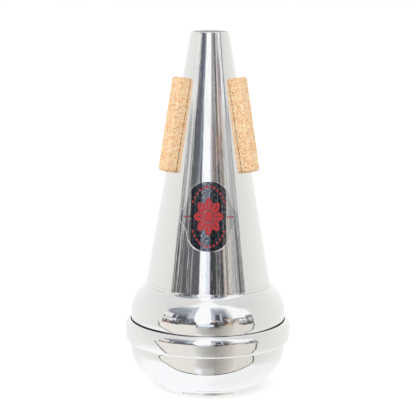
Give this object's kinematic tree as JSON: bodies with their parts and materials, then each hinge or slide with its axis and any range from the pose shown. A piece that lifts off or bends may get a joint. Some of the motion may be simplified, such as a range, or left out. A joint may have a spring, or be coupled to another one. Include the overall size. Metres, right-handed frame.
{
  "type": "trumpet straight mute",
  "caption": "Straight mute for a trumpet: polished metal cone with a round belly, crimped end cap with a foot ring, cork pads and a clear oval film badge.",
  "frame": {"origin": "on the mute's axis, in the plane of the foot ring that it stands on", "axes": "+Z along the axis from the foot to the open mouth; -Y is the front, where the badge is; +X to the right seen from the front"},
  "size_m": [0.0846, 0.0846, 0.18],
  "materials": {
    "polished_aluminium": "spun and polished, with fine turning lines",
    "cork": "sanded agglomerated cork",
    "badge_film": "thin clear film with a red print on a smoky ground"
  },
  "bodies": {
    "root": {"body_cone": "polished_aluminium", "end_cap": "polished_aluminium", "cork_left": "cork", "cork_right": "cork", "cork_back": "cork", "badge_film": "badge_film"}
  },
  "joints": []
}
